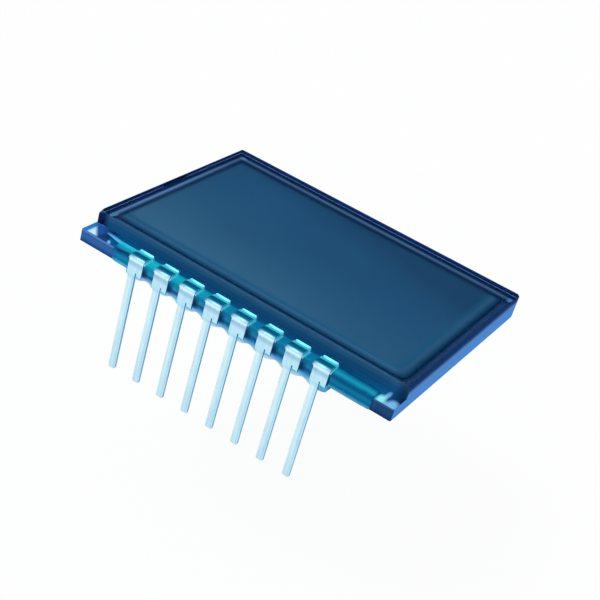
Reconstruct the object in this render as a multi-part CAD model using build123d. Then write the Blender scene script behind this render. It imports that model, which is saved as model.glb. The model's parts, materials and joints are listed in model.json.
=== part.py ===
from build123d import *
import os

# A small segment display: two glass plates sealed into a cell, a film on each outer face,
# and one row of clip pins bonded to the ledge of the rear plate.
# Millimetres. +Z leaves the viewing face, +X runs along the pin row, the pins stand at -Y
# and point to -Z. The origin is on the outer face of the rear film, at the middle of the
# rear plate's outline.

# Glass plates
GLASS_WIDTH = 30.0
REAR_DEPTH = 22.9
LEDGE_DEPTH = 1.9
GLASS_THICK = 1.1
CELL_GAP = 0.01
CLIP_PIN_LEFT = 0.3
CLIP_PIN_RIGHT = 0.1
CLIP_FAR_RIGHT = 0.25
CLIP_FAR_LEFT = 0.1
EDGE_SEAM = 0.07

# Polarizing films
FILM_THICK = 0.2
FRONT_FILM_INSET = 0.35
REAR_FILM_INSET = 0.5
FILM_CORNER = 0.3

# Seal, filling port and transfer dot
SEAL_INSET = 0.4
SEAL_WIDTH = 0.9
SEAL_CORNER = 1.5
PORT_WIDTH = 2.0
PLUG_WIDTH = 3.4
PLUG_BULGE = 0.3
PLUG_HEIGHT = 1.3
DOT_RADIUS = 0.35
DOT_SETBACK = 0.6

# Electrodes: clear conducting coats, drawn thicker than life
COAT_THICK = 0.001
DIGIT_HEIGHT = 12.0
DIGIT_WIDTH = 7.2
SEGMENT_WIDTH = 1.1
SEGMENT_GAP = 0.2
LEAD_WIDTH = 0.16
LEAD_SPACING = 0.5
LEAD_FALL = 2.6
LAND_WIDTH = 1.0
COMMON_MARGIN = 0.9

# Pins
PIN_COUNT = 8
PIN_PITCH = 2.54
ROW_SHIFT = -0.18
PIN_METAL = 0.25
HEAD_WIDTH = 1.42
LEG_WIDTH = 0.66
LEG_SHIFT = -0.2
SHOULDER_DROP = 0.15
SHOULDER_TAPER = 0.3
LEG_REACH = 9.4
PLATE_CLEARANCE = 0.05
FINGER_DIP = 0.72
FINGER_FLAT = 0.24
FINGER_TIP_RUN = 0.28
FINGER_TIP_RISE = 0.24
FINGER_CROWN = 0.275
PRONG_SAG = 0.16
PRONG_TOUCH = 0.55
PRONG_FLAT = 0.45
CROWN_RADIUS = 0.25
BEND_RADIUS = 0.12
DIP_RADIUS = 0.35
SLIT_WIDTH = 0.09
SLIT_RISE = 0.12
FINGER_CORNER = 0.14
LEG_TIP_ROUND = 0.16
EDGE_MATCH = 0.002

# Resin bead along the pins
BEAD_TOE = 1.15
BEAD_HEIGHT = 0.24
BEAD_PROUD = 0.2
BEAD_ROUND = 0.16
BEAD_END_ROUND = 0.5
BEAD_LEFT = 1.8
BEAD_RIGHT = 3.8
BEAD_TAIL = 1.7
BEAD_TAIL_FRONT = 0.55
BEAD_TAIL_HEIGHT = 0.1
SCALLOP_DEPTH = 0.22
SADDLE_COVER = 0.07
SADDLE_SIDE = 0.12
LOBE_REACH = 1.05
LOBE_SLOPE = 0.3
LOBE_SIDE = 0.12
FIRST_LOBE_DROP = 0.48
LAST_LOBE_DROP = 0.72
FIRST_ARCH_DROP = 0.1
LAST_ARCH_DROP = 0.42

# Levels and edges worked out from the sizes above
REAR_BOTTOM = FILM_THICK
LEDGE_TOP = REAR_BOTTOM + GLASS_THICK
LAND_TOP = LEDGE_TOP + COAT_THICK
FRONT_BOTTOM = LEDGE_TOP + CELL_GAP
FRONT_TOP = FRONT_BOTTOM + GLASS_THICK
FRONT_DEPTH = REAR_DEPTH - LEDGE_DEPTH
PIN_EDGE = -REAR_DEPTH / 2
FRONT_EDGE = PIN_EDGE + LEDGE_DEPTH
FRONT_CENTRE = FRONT_EDGE + FRONT_DEPTH / 2
PIN_ROW = [ROW_SHIFT + (i - (PIN_COUNT - 1) / 2) * PIN_PITCH for i in range(PIN_COUNT)]
PIN_GAPS = [(left + right) / 2 for left, right in zip(PIN_ROW, PIN_ROW[1:])]
PLATE_BACK = -PLATE_CLEARANCE
PRONG_INNER = LEG_SHIFT + LEG_WIDTH / 2 + SLIT_WIDTH
SEGMENT_LETTERS = "afegdcb"


def rounded_sheet(width, depth, centre_y, bottom, thick, corner):
    """A flat sheet with rounded corners, its lower face at the height given."""
    outline = Pos(0, centre_y) * RectangleRounded(width, depth, corner)
    return Pos(0, 0, bottom) * extrude(outline, thick)


def glass_plate(depth, centre_y, bottom, faces_up):
    """A scribed plate: corners clipped, and the edges of its outer face seamed."""
    plate = Pos(0, centre_y, bottom + GLASS_THICK / 2) * Box(GLASS_WIDTH, depth, GLASS_THICK)
    clips = [((-1, -1), CLIP_PIN_LEFT), ((1, -1), CLIP_PIN_RIGHT),
             ((1, 1), CLIP_FAR_RIGHT), ((-1, 1), CLIP_FAR_LEFT)]
    for (side, end), clip in clips:
        uprights = plate.edges().filter_by(Axis.Z)
        plate = chamfer(uprights.sort_by(lambda edge: edge.center().X * side
                                         + (edge.center().Y - centre_y) * end)[-1], clip)
    outer_face = plate.faces().sort_by(Axis.Z if faces_up else -Axis.Z)[-1]
    return chamfer(outer_face.edges(), EDGE_SEAM)


def polarizing_film(inset, bottom):
    """A film cut a little smaller than the front plate's outline."""
    width = GLASS_WIDTH - 2 * inset
    depth = FRONT_DEPTH - 2 * inset
    return rounded_sheet(width, depth, FRONT_CENTRE, bottom, FILM_THICK, FILM_CORNER)


def seal_outline(inset, corner):
    """The front plate's outline, drawn in by the inset."""
    width = GLASS_WIDTH - 2 * inset
    depth = FRONT_DEPTH - 2 * inset
    return Pos(0, FRONT_CENTRE) * RectangleRounded(width, depth, corner)


def port_neck(outer_x, inner_x):
    """The gap left in the seal on the far short side, between two distances from the edge."""
    length = inner_x - outer_x
    centre_x = -GLASS_WIDTH / 2 + outer_x + length / 2
    return Pos(centre_x, FRONT_CENTRE) * Rectangle(length, PORT_WIDTH)


def lead_strip(points, width=LEAD_WIDTH):
    """A conductor of constant width along straight runs, with square ends past its points."""
    strip = Sketch()
    for start, end in zip(points, points[1:]):
        run = Vector(*end) - Vector(*start)
        middle = (Vector(*start) + Vector(*end)) / 2
        angle = Vector(1, 0).get_signed_angle(run, Vector(0, 0, 1))
        strip += Pos(middle.X, middle.Y) * Rot(0, 0, angle) * Rectangle(run.length + width, width)
    return strip


def segment_bar(centre, length, upright):
    """One bar of the digit, pointed at both ends."""
    half = length / 2
    shoulder = half - SEGMENT_WIDTH / 2
    edge = SEGMENT_WIDTH / 2
    outline = Polyline((-half, 0), (-shoulder, edge), (shoulder, edge), (half, 0),
                       (shoulder, -edge), (-shoulder, -edge), close=True)
    turn = 90 if upright else 0
    return Pos(*centre) * Rot(0, 0, turn) * make_face(outline)


def segment_bars():
    """Centre and outline of each bar, by the usual letters, a at the top and g in the middle."""
    side = (DIGIT_WIDTH - SEGMENT_WIDTH) / 2
    rung = (DIGIT_HEIGHT - SEGMENT_WIDTH) / 2
    across = 2 * side - SEGMENT_GAP * 2 - SEGMENT_WIDTH / 2
    along = rung - SEGMENT_GAP * 2
    y = FRONT_CENTRE
    centres = {"a": (0, y + rung), "g": (0, y), "d": (0, y - rung),
               "f": (-side, y + rung / 2), "b": (side, y + rung / 2),
               "e": (-side, y - rung / 2), "c": (side, y - rung / 2)}
    bars = {}
    for letter, centre in centres.items():
        upright = letter in "fbec"
        bars[letter] = (centre, segment_bar(centre, along if upright else across, upright))
    return bars


def lead_columns():
    """The x of the column that each lead follows from its bar down to the fan."""
    side = (DIGIT_WIDTH - SEGMENT_WIDTH) / 2
    outside = side + SEGMENT_WIDTH / 2
    inner = -(side - SEGMENT_WIDTH / 2 - SEGMENT_GAP / 2 - LEAD_WIDTH / 2)
    return {"a": -(outside + 2 * LEAD_SPACING), "f": -(outside + LEAD_SPACING), "e": -side,
            "g": inner, "d": 0, "c": side, "b": outside + LEAD_SPACING}


def pin_land(x):
    """The wide end of a lead, under the finger of a pin."""
    front = PIN_EDGE + FINGER_DIP / 2
    back = FRONT_EDGE + SEAL_INSET / 2
    return Pos(x, (front + back) / 2) * Rectangle(LAND_WIDTH, back - front)


def dot_place():
    """The transfer dot stands inside the seal, beside the first pin."""
    inside = SEAL_INSET + SEAL_WIDTH + DOT_SETBACK + DOT_RADIUS
    return PIN_ROW[0], FRONT_EDGE + inside


def segment_electrodes():
    """Seven bars with their leads, and the lead of the common pin, on the rear plate."""
    bars = segment_bars()
    columns = lead_columns()
    fan_top = FRONT_CENTRE - DIGIT_HEIGHT / 2 - SEGMENT_GAP - LEAD_WIDTH
    fan_foot = fan_top - LEAD_FALL
    ledge = FRONT_EDGE + SEAL_INSET / 2
    shapes = []
    for letter, pin_x in zip(SEGMENT_LETTERS, PIN_ROW[1:]):
        centre, bar = bars[letter]
        column = columns[letter]
        route = [centre, (column, centre[1]), (column, fan_top), (pin_x, fan_foot), (pin_x, ledge)]
        if centre[0] == column:
            route.pop(0)
        shapes.append(bar + lead_strip(route) + pin_land(pin_x))
    dot_x, dot_y = dot_place()
    shapes.append(lead_strip([(dot_x, dot_y), (dot_x, ledge)], LAND_WIDTH) + pin_land(dot_x))
    return Compound([Pos(0, 0, LEDGE_TOP) * extrude(shape, COAT_THICK) for shape in shapes])


def common_electrode():
    """One patch over the whole digit, with a lead to the transfer dot, on the front plate."""
    patch = Pos(0, FRONT_CENTRE) * Rectangle(DIGIT_WIDTH + 2 * COMMON_MARGIN,
                                             DIGIT_HEIGHT + 2 * COMMON_MARGIN)
    dot_x, dot_y = dot_place()
    patch += lead_strip([(0, FRONT_CENTRE), (dot_x, FRONT_CENTRE), (dot_x, dot_y)], LAND_WIDTH)
    return Pos(0, 0, FRONT_BOTTOM - COAT_THICK) * extrude(patch, COAT_THICK)


def transfer_dot():
    """The conducting drop between the coats of the two plates."""
    dot_x, dot_y = dot_place()
    height = CELL_GAP - 2 * COAT_THICK
    return Pos(dot_x, dot_y, LEDGE_TOP + COAT_THICK + height / 2) * Cylinder(DOT_RADIUS, height)


def seal_ring(leads):
    """The line of sealing resin between the plates, open at the port and over the leads."""
    ring = seal_outline(SEAL_INSET, SEAL_CORNER)
    ring -= seal_outline(SEAL_INSET + SEAL_WIDTH, SEAL_CORNER - SEAL_WIDTH)
    ring -= port_neck(0, SEAL_INSET + SEAL_WIDTH)
    return Pos(0, 0, LEDGE_TOP) * extrude(ring, CELL_GAP) - leads


def liquid_crystal(dot):
    """The thin layer inside the seal and in the mouth of the port, clear of the coats."""
    pool = seal_outline(SEAL_INSET + SEAL_WIDTH, SEAL_CORNER - SEAL_WIDTH)
    pool += port_neck(SEAL_INSET + SEAL_WIDTH / 2, SEAL_INSET + SEAL_WIDTH)
    height = CELL_GAP - 2 * COAT_THICK
    return Pos(0, 0, LEDGE_TOP + COAT_THICK) * extrude(pool, height) - dot


def fill_port_plug():
    """The drop that closes the port: a tongue in the gap and a low pillow on the edge."""
    tongue = port_neck(0, SEAL_INSET + SEAL_WIDTH / 2)
    tongue = Pos(0, 0, LEDGE_TOP) * extrude(tongue, CELL_GAP)
    edge = -GLASS_WIDTH / 2
    middle = LEDGE_TOP + CELL_GAP / 2
    side_arc = ThreePointArc((edge, middle - PLUG_HEIGHT / 2), (edge - PLUG_BULGE, middle),
                             (edge, middle + PLUG_HEIGHT / 2))
    side_view = Plane.XZ * make_face(side_arc + Line(side_arc @ 1, side_arc @ 0))
    top_arc = ThreePointArc((edge, -PLUG_WIDTH / 2), (edge - PLUG_BULGE, 0),
                            (edge, PLUG_WIDTH / 2))
    top_view = make_face(top_arc + Line(top_arc @ 1, top_arc @ 0))
    pillow = extrude(side_view, PLUG_WIDTH, both=True) & extrude(top_view, FRONT_TOP, both=True)
    pillow = Pos(0, FRONT_CENTRE, 0) * pillow
    return pillow + tongue


def pin_side_profile():
    """The bent strip seen from the side: finger, bend, front plate, bend, prong.

    The line follows the face turned to the glass, and the metal lies outside it.
    """
    back = PIN_EDGE + PLATE_BACK
    dip = PIN_EDGE + FINGER_DIP
    touch = PIN_EDGE + PRONG_TOUCH
    inner = FilletPolyline(
        (dip + FINGER_FLAT + FINGER_TIP_RUN, LAND_TOP + FINGER_TIP_RISE),
        (dip + FINGER_FLAT, LAND_TOP),
        (dip, LAND_TOP),
        (back, LAND_TOP + FINGER_CROWN),
        (back, REAR_BOTTOM - PRONG_SAG),
        (touch, REAR_BOTTOM),
        (touch + PRONG_FLAT, REAR_BOTTOM),
        radius=[DIP_RADIUS, DIP_RADIUS, CROWN_RADIUS, BEND_RADIUS, DIP_RADIUS])
    return make_face(offset(inner, PIN_METAL, side=Side.RIGHT, closed=True))


def pin_leg():
    """The leg seen from the front, with the shoulder that narrows the head on its left side."""
    top = REAR_BOTTOM + GLASS_THICK / 2
    tip = REAR_BOTTOM - LEG_REACH
    shoulder = REAR_BOTTOM - SHOULDER_DROP
    left = LEG_SHIFT - LEG_WIDTH / 2
    right = LEG_SHIFT + LEG_WIDTH / 2
    head_left = -HEAD_WIDTH / 2
    outline = Polyline((head_left, top), (head_left, shoulder), (left, shoulder - SHOULDER_TAPER),
                       (left, tip), (right, tip), (right, top), close=True)
    leg = make_face(outline)
    return fillet(leg.vertices().group_by(Axis.Y)[0], LEG_TIP_ROUND)


def pin(x):
    """One clip pin: finger, front plate, one prong under the glass, and the leg beside it."""
    clip = Plane.YZ * pin_side_profile()
    clip = extrude(clip, HEAD_WIDTH / 2, both=True)
    slit_top = REAR_BOTTOM + SLIT_RISE
    clip -= Pos(PRONG_INNER - HEAD_WIDTH, PIN_EDGE, slit_top - GLASS_THICK) * Box(
        2 * HEAD_WIDTH, 2 * LEDGE_DEPTH, 2 * GLASS_THICK)
    clip += Pos(0, PIN_EDGE + PLATE_BACK) * extrude(Plane.XZ * pin_leg(), PIN_METAL)
    finger_end = PIN_EDGE + FINGER_DIP + FINGER_FLAT + FINGER_TIP_RUN
    corners = [edge for edge in clip.edges().filter_by(GeomType.LINE)
               if edge.center().Y > finger_end - PIN_METAL / 2
               and edge.center().Z > LEDGE_TOP
               and abs(edge.length - PIN_METAL) < EDGE_MATCH]
    return Pos(x, 0, 0) * fillet(corners, FINGER_CORNER)


def bead_side_profile():
    """The part of the bead on the ledge and over the plate's edge, seen from the side."""
    toe = PIN_EDGE + BEAD_TOE
    front = PIN_EDGE - BEAD_PROUD
    crest = LEDGE_TOP + BEAD_HEIGHT
    skin = FilletPolyline((toe, LEDGE_TOP), (toe - BEAD_HEIGHT, crest), (front, crest),
                          (front, REAR_BOTTOM), (PIN_EDGE, REAR_BOTTOM), radius=BEAD_ROUND)
    back = Polyline((PIN_EDGE, REAR_BOTTOM), (PIN_EDGE, LEDGE_TOP), (toe, LEDGE_TOP))
    return make_face(skin + back)


def bead_plan(left, right):
    """The bead seen from above, its ends rounded."""
    front = PIN_EDGE - BEAD_PROUD
    depth = BEAD_TOE + BEAD_PROUD
    plan = Pos((left + right) / 2, front + depth / 2) * Rectangle(right - left, depth)
    plan = fillet(plan.vertices().group_by(Axis.Y)[-1], BEAD_END_ROUND)
    return fillet(plan.vertices().group_by(Axis.Y)[0], BEAD_ROUND)


def bead_tail(left):
    """The thin smear that the bead leaves on the ledge past its left end."""
    front = PIN_EDGE + BEAD_TAIL_FRONT
    toe = PIN_EDGE + BEAD_TOE
    start = left + BEAD_END_ROUND
    outline = Polyline((start, front), (start, toe), (left - BEAD_TAIL, toe), close=True)
    return Pos(0, 0, LEDGE_TOP) * extrude(make_face(outline), BEAD_TAIL_HEIGHT, dir=(0, 0, 1))


def finger_saddle(x):
    """Resin that fills the valley of a finger, between its crown and its tip."""
    length = FINGER_DIP + FINGER_FLAT
    cover = PIN_METAL + SADDLE_COVER
    width = HEAD_WIDTH + 2 * SADDLE_SIDE
    block = Pos(x, PIN_EDGE + length / 2, LEDGE_TOP + cover / 2) * Box(width, length, cover)
    return chamfer(block.edges().filter_by(Axis.Y).group_by(Axis.Z)[-1], BEAD_ROUND / 2)


def drop_along_row(first, last):
    """A drop below the glass for every pin, growing evenly from the first to the last."""
    return [first + (last - first) * i / (PIN_COUNT - 1) for i in range(PIN_COUNT)]


def bead_lobes():
    """The resin under the glass: a lobe hangs at every pin and an arch joins each pair."""
    half = HEAD_WIDTH / 2 + LOBE_SIDE
    lobe_drops = drop_along_row(FIRST_LOBE_DROP, LAST_LOBE_DROP)
    arch_drops = drop_along_row(FIRST_ARCH_DROP, LAST_ARCH_DROP)
    springs = [REAR_BOTTOM - (lobe + arch) / 2 for lobe, arch in zip(lobe_drops, arch_drops)]
    edge = Curve()
    for i, x in enumerate(PIN_ROW):
        edge += ThreePointArc((x - half, springs[i]), (x, REAR_BOTTOM - lobe_drops[i]),
                              (x + half, springs[i]))
    for i, x in enumerate(PIN_GAPS):
        edge += ThreePointArc((PIN_ROW[i] + half, springs[i]), (x, REAR_BOTTOM - arch_drops[i]),
                              (PIN_ROW[i + 1] - half, springs[i + 1]))
    roof = REAR_BOTTOM + BEAD_ROUND
    edge += Polyline((PIN_ROW[0] - half, springs[0]), (PIN_ROW[0] - half, roof),
                     (PIN_ROW[-1] + half, roof), (PIN_ROW[-1] + half, springs[-1]))
    front = PIN_EDGE - BEAD_PROUD
    under = PIN_EDGE + LOBE_REACH
    floor = REAR_BOTTOM - LAST_LOBE_DROP
    side_view = make_face(Polyline(
        (front, roof), (front, floor), (under - LOBE_SLOPE, floor), (under, REAR_BOTTOM),
        (PIN_EDGE, REAR_BOTTOM), (PIN_EDGE, roof), close=True))
    front_view = extrude(Plane.XZ * make_face(edge), REAR_DEPTH, both=True)
    return front_view & extrude(Plane.YZ * side_view, GLASS_WIDTH, both=True)


def pin_bead(pins, leads):
    """The resin bead: a strip with a scalloped toe on the ledge, and lobes under the glass."""
    left = PIN_ROW[0] - HEAD_WIDTH / 2 - BEAD_LEFT
    right = PIN_ROW[-1] + HEAD_WIDTH / 2 + BEAD_RIGHT
    bead = Pos(left, 0, 0) * extrude(Plane.YZ * bead_side_profile(), right - left)
    bead &= extrude(bead_plan(left, right), FRONT_TOP)
    toe = PIN_EDGE + BEAD_TOE
    head_gap = PIN_PITCH - HEAD_WIDTH
    toe_radius = (head_gap ** 2 / 4 + SCALLOP_DEPTH ** 2) / (2 * SCALLOP_DEPTH)
    for x in PIN_GAPS:
        bead -= Pos(x, toe - SCALLOP_DEPTH + toe_radius) * Cylinder(toe_radius, 2 * FRONT_TOP)
    bead += bead_tail(left)
    bead += bead_lobes()
    for x in PIN_ROW:
        bead += finger_saddle(x)
    for terminal in pins:
        bead -= terminal
    return bead - leads


def build_parts():
    """Every piece by its node's name."""
    leads = segment_electrodes()
    dot = transfer_dot()
    pins = [pin(x) for x in PIN_ROW]
    parts = {
        "rear_glass": glass_plate(REAR_DEPTH, 0, REAR_BOTTOM, False),
        "front_glass": glass_plate(FRONT_DEPTH, FRONT_CENTRE, FRONT_BOTTOM, True),
        "front_polarizer": polarizing_film(FRONT_FILM_INSET, FRONT_TOP),
        "rear_polarizer": polarizing_film(REAR_FILM_INSET, 0),
        "seal_ring": seal_ring(leads),
        "fill_port_plug": fill_port_plug(),
        "liquid_crystal": liquid_crystal(dot),
        "transfer_dot": dot,
        "segment_electrodes": leads,
        "common_electrode": common_electrode(),
        "pin_bead": pin_bead(pins, leads),
    }
    for number, terminal in enumerate(pins, 1):
        parts[f"pin_{number}"] = terminal
    return parts


os.makedirs("parts", exist_ok=True)
for node, shape in build_parts().items():
    export_step(shape, f"parts/{node}.step")
    print(node, len(shape.solids()), round(shape.volume, 4))
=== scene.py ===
# %% [markdown]
# # A segment LCD display in Blender
#
# The object is a small glass display cell: two plates with a film on each face, eight clip pins
# along one edge, and a bead of hardened resin that holds the pins. The shapes of the real parts
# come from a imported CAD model, which this script loads as a fixed frame. Blender adds what CAD
# leaves out: seamed glass edges, soft resin, eased metal, and a procedural finish for every
# surface. All lengths in the model are metres, so millimetres are written as a number times MM.
# Points closer than FINE count as one.

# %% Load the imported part
import json
import math

import bpy
from mathutils import Matrix, Vector

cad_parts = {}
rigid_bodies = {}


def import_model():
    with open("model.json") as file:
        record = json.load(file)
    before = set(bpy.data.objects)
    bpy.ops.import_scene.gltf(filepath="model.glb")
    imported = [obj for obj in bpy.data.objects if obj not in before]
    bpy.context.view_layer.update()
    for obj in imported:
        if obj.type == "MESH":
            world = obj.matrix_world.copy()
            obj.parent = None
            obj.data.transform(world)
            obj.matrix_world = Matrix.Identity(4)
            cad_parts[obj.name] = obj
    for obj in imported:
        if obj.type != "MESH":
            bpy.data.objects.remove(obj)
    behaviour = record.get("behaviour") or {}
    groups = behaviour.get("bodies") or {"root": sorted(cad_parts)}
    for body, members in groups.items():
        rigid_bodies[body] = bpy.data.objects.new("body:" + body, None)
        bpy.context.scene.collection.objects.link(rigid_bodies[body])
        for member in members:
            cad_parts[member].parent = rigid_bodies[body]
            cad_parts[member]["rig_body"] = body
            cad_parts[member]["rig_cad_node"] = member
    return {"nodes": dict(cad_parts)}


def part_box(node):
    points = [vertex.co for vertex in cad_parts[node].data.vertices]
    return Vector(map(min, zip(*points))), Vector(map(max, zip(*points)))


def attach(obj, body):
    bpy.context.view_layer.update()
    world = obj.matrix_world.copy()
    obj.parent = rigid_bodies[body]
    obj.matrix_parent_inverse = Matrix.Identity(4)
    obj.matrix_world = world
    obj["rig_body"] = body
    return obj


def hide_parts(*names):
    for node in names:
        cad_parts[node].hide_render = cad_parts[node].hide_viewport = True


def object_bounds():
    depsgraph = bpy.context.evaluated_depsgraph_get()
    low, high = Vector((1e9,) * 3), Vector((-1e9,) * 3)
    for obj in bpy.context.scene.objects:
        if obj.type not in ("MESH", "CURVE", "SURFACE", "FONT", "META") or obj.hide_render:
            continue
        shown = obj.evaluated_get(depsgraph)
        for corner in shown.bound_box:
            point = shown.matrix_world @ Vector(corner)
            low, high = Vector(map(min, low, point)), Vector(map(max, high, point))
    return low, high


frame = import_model()
nodes = frame["nodes"]
scene = bpy.context.scene
cad_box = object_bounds()
MM = 0.001
FINE = 0.001 * MM
print("CAD box in mm:", [[round(c / MM, 2) for c in corner] for corner in cad_box])

# %% [markdown]
# ## Small helpers
#
# Colours are written as sRGB hex values, the way a colour picker gives them, and one function
# turns them into the linear values that a shader needs. One more function adds a node together
# with its settings and its links, so that each material below reads as a recipe.

# %% Colour and node helpers
def linear(code):
    """An sRGB hex colour as linear RGBA."""
    values = [int(code[i:i + 2], 16) / 255 for i in (1, 3, 5)]
    return [v / 12.92 if v <= 0.04045 else ((v + 0.055) / 1.055) ** 2.4 for v in values] + [1.0]


def add_node(tree, kind, settings=None, inputs=None, stops=None):
    """Adds a node; inputs that are sockets are linked, the others are set as values."""
    made = tree.nodes.new(kind)
    for name, value in (settings or {}).items():
        setattr(made, name, value)
    for name, value in (inputs or {}).items():
        if isinstance(value, bpy.types.NodeSocket):
            tree.links.new(value, made.inputs[name])
        else:
            made.inputs[name].default_value = value
    for i, (place, code) in enumerate(stops or []):
        ramp = made.color_ramp.elements
        stop = ramp[i] if i < 2 else ramp.new(place)
        stop.position = place
        stop.color = linear(code)
    return made


print("helpers ready, for example", [round(c, 3) for c in linear("#4A7EC0")])

# %% [markdown]
# Many finishes on this object change with place: along the row, up the edge, in from the rim.
# So three more helpers start a material, give the place of a surface point in millimetres, and
# spread a list of tones over a length.

# %% Material helpers
def new_material(name):
    """An empty material with its output node."""
    made = bpy.data.materials.new(name)
    made.use_nodes = True
    made.node_tree.nodes.clear()
    output = made.node_tree.nodes.new("ShaderNodeOutputMaterial")
    return made, made.node_tree, output


def place_in_mm(tree):
    """The surface point in millimetres, whole and split into X, Y and Z."""
    place = add_node(tree, "ShaderNodeTexCoord")
    spot = add_node(tree, "ShaderNodeMapping", None,
                    {"Vector": place.outputs["Object"], "Scale": (1 / MM, 1 / MM, 1 / MM)})
    return spot, add_node(tree, "ShaderNodeSeparateXYZ", None, {0: spot.outputs[0]})


def spread(tones, low, high):
    """Ramp stops for tones whose places are given in millimetres."""
    return [((place - low) / (high - low), code) for place, code in tones]


def dress(piece, finish):
    """Gives a piece one material."""
    piece.data.materials.clear()
    piece.data.materials.append(finish)


# %% [markdown]
# ## Camera
#
# The camera stands where the photograph was taken from: a little to the right of the pin side
# and about thirty degrees up. It is rolled by some seventeen degrees, because the picture shows
# the row of pins running down to the right.

# %% Place the camera
AZIMUTH, ELEVATION, ROLL = 23.8316, 30.542, 16.779
DISTANCE = 105.4025 * MM
LENS = 77.194
TARGET = Vector((1.5987, -3.0773, 0.2)) * MM
az, el, roll = (math.radians(a) for a in (AZIMUTH, ELEVATION, ROLL))
back = Vector((math.sin(az) * math.cos(el), -math.cos(az) * math.cos(el), math.sin(el)))
level_right = (-back).cross(Vector((0, 0, 1))).normalized()
level_up = level_right.cross(-back)
right = level_right * math.cos(roll) + level_up * math.sin(roll)
up = level_up * math.cos(roll) - level_right * math.sin(roll)
lens = bpy.data.cameras.new("camera")
lens.lens = LENS
lens.sensor_width = 36
lens.clip_start = 0.001
lens.clip_end = 10
camera = bpy.data.objects.new("camera", lens)
scene.collection.objects.link(camera)
turn = Matrix((right, up, back)).transposed()
camera.matrix_world = Matrix.Translation(TARGET + back * DISTANCE) @ turn.to_4x4()
scene.camera = camera
print("camera at mm:", [round(c / MM, 1) for c in camera.location])

# %% [markdown]
# ## Light and background
#
# The photograph is a cut-out on pure white under broad, soft light. A white sky lights the part
# evenly from all sides, and one large soft sun adds the small difference between upper faces and
# sides. The floor is pale and sits some way below the legs, so their shadow stays faint. To the
# camera most of the floor's brightness is a plain glow, which keeps the picture's ground white.

# %% White sky
SKY_LIGHT = 0.8
scene.view_settings.view_transform = "Standard"
world = bpy.data.worlds.new("white_sky")
world.use_nodes = True
scene.world = world
sky = world.node_tree
sky.nodes.clear()
rays = add_node(sky, "ShaderNodeLightPath")
seen = add_node(sky, "ShaderNodeMath", {"operation": "MAXIMUM"},
                {0: rays.outputs["Is Camera Ray"], 1: rays.outputs["Is Transmission Ray"]})
seen = add_node(sky, "ShaderNodeMath", {"operation": "MAXIMUM"},
                {0: seen.outputs[0], 1: rays.outputs["Is Glossy Ray"]})
even = add_node(sky, "ShaderNodeBackground", None, {"Color": (1, 1, 1, 1), "Strength": SKY_LIGHT})
white = add_node(sky, "ShaderNodeBackground", None, {"Color": (1, 1, 1, 1), "Strength": 1.0})
choice = add_node(sky, "ShaderNodeMixShader", None,
                  {0: seen.outputs[0], 1: even.outputs[0], 2: white.outputs[0]})
add_node(sky, "ShaderNodeOutputWorld", None, {"Surface": choice.outputs[0]})
print("sky light:", SKY_LIGHT)

# %% Soft sun and floor
# The sun is as soft as a wide lamp close by, and comes from the near left. The floor is one
# large plane under the part.
SUN_LIGHT = 0.8
SUN_SOFTNESS = math.radians(25)
SUN_FROM = Vector((-0.4, -0.55, 1))
FLOOR_DROP = 14 * MM
FLOOR_SIZE = 6
FLOOR_GLOW = 0.92
sun = bpy.data.lights.new("soft_sun", "SUN")
sun.energy = SUN_LIGHT
sun.angle = SUN_SOFTNESS
sun_object = bpy.data.objects.new("soft_sun", sun)
sun_object.rotation_euler = SUN_FROM.to_track_quat("Z", "Y").to_euler()
scene.collection.objects.link(sun_object)

bpy.ops.object.select_all(action="DESELECT")
floor_level = cad_box[0].z - FLOOR_DROP
bpy.ops.mesh.primitive_plane_add(size=FLOOR_SIZE, location=(0, 0, floor_level))
floor = bpy.context.object
floor.name = "floor"
pale, tree, output = new_material("pale_floor")
rays = add_node(tree, "ShaderNodeLightPath")
matt = add_node(tree, "ShaderNodeBsdfDiffuse", None, {"Color": linear("#F4F6F8")})
glow = add_node(tree, "ShaderNodeEmission", None, {"Color": (1, 1, 1, 1), "Strength": 1.0})
share = add_node(tree, "ShaderNodeMath", {"operation": "MULTIPLY"},
                 {0: rays.outputs["Is Camera Ray"], 1: FLOOR_GLOW})
mixed = add_node(tree, "ShaderNodeMixShader", None,
                 {0: share.outputs[0], 1: matt.outputs[0], 2: glow.outputs[0]})
tree.links.new(mixed.outputs[0], output.inputs["Surface"])
dress(floor, pale)
print("floor at mm:", round(floor_level / MM, 1))

# %% [markdown]
# ## What the eye reads as the screen
#
# The screen lies at the joint of the plates, 1.1 mm down. In the middle is the blue-grey field
# of the liquid crystal, which darkens toward the far and right sides as painted shade. Along the
# seal runs a painted pale line of light with a painted dark line of shade inside it on the left
# and far sides, and a painted dark line of shade alone on the near and right sides. Both are told
# by the distance in from the rim, and stand a little wider on the long sides and on the right
# one. Three small painted glints sit in the corners where the pale line bends or ends. The same
# pattern is needed for the seal, the liquid crystal, the tongue of the plug and the glass below
# them, so it is made by one function.

# %% Soft ellipse
SOFT_EDGE = 0.45


def blot(tree, spot, middle, half, turn, soft=SOFT_EDGE):
    """A mask that is 1 in an ellipse on a level plane and fades out at its edge."""
    moved = add_node(tree, "ShaderNodeMapping", {"vector_type": "TEXTURE"},
                     {"Vector": spot.outputs[0], "Location": (*middle, 0),
                      "Rotation": (0, 0, math.radians(turn)), "Scale": (*half, 1000)})
    reach = add_node(tree, "ShaderNodeVectorMath", {"operation": "LENGTH"},
                     {0: moved.outputs[0]})
    return add_node(tree, "ShaderNodeMapRange", None,
                    {"Value": reach.outputs["Value"], "From Min": 1 + soft,
                     "From Max": 1 - soft})


print("a blot fades over", SOFT_EDGE, "of its half length on either side")
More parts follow.
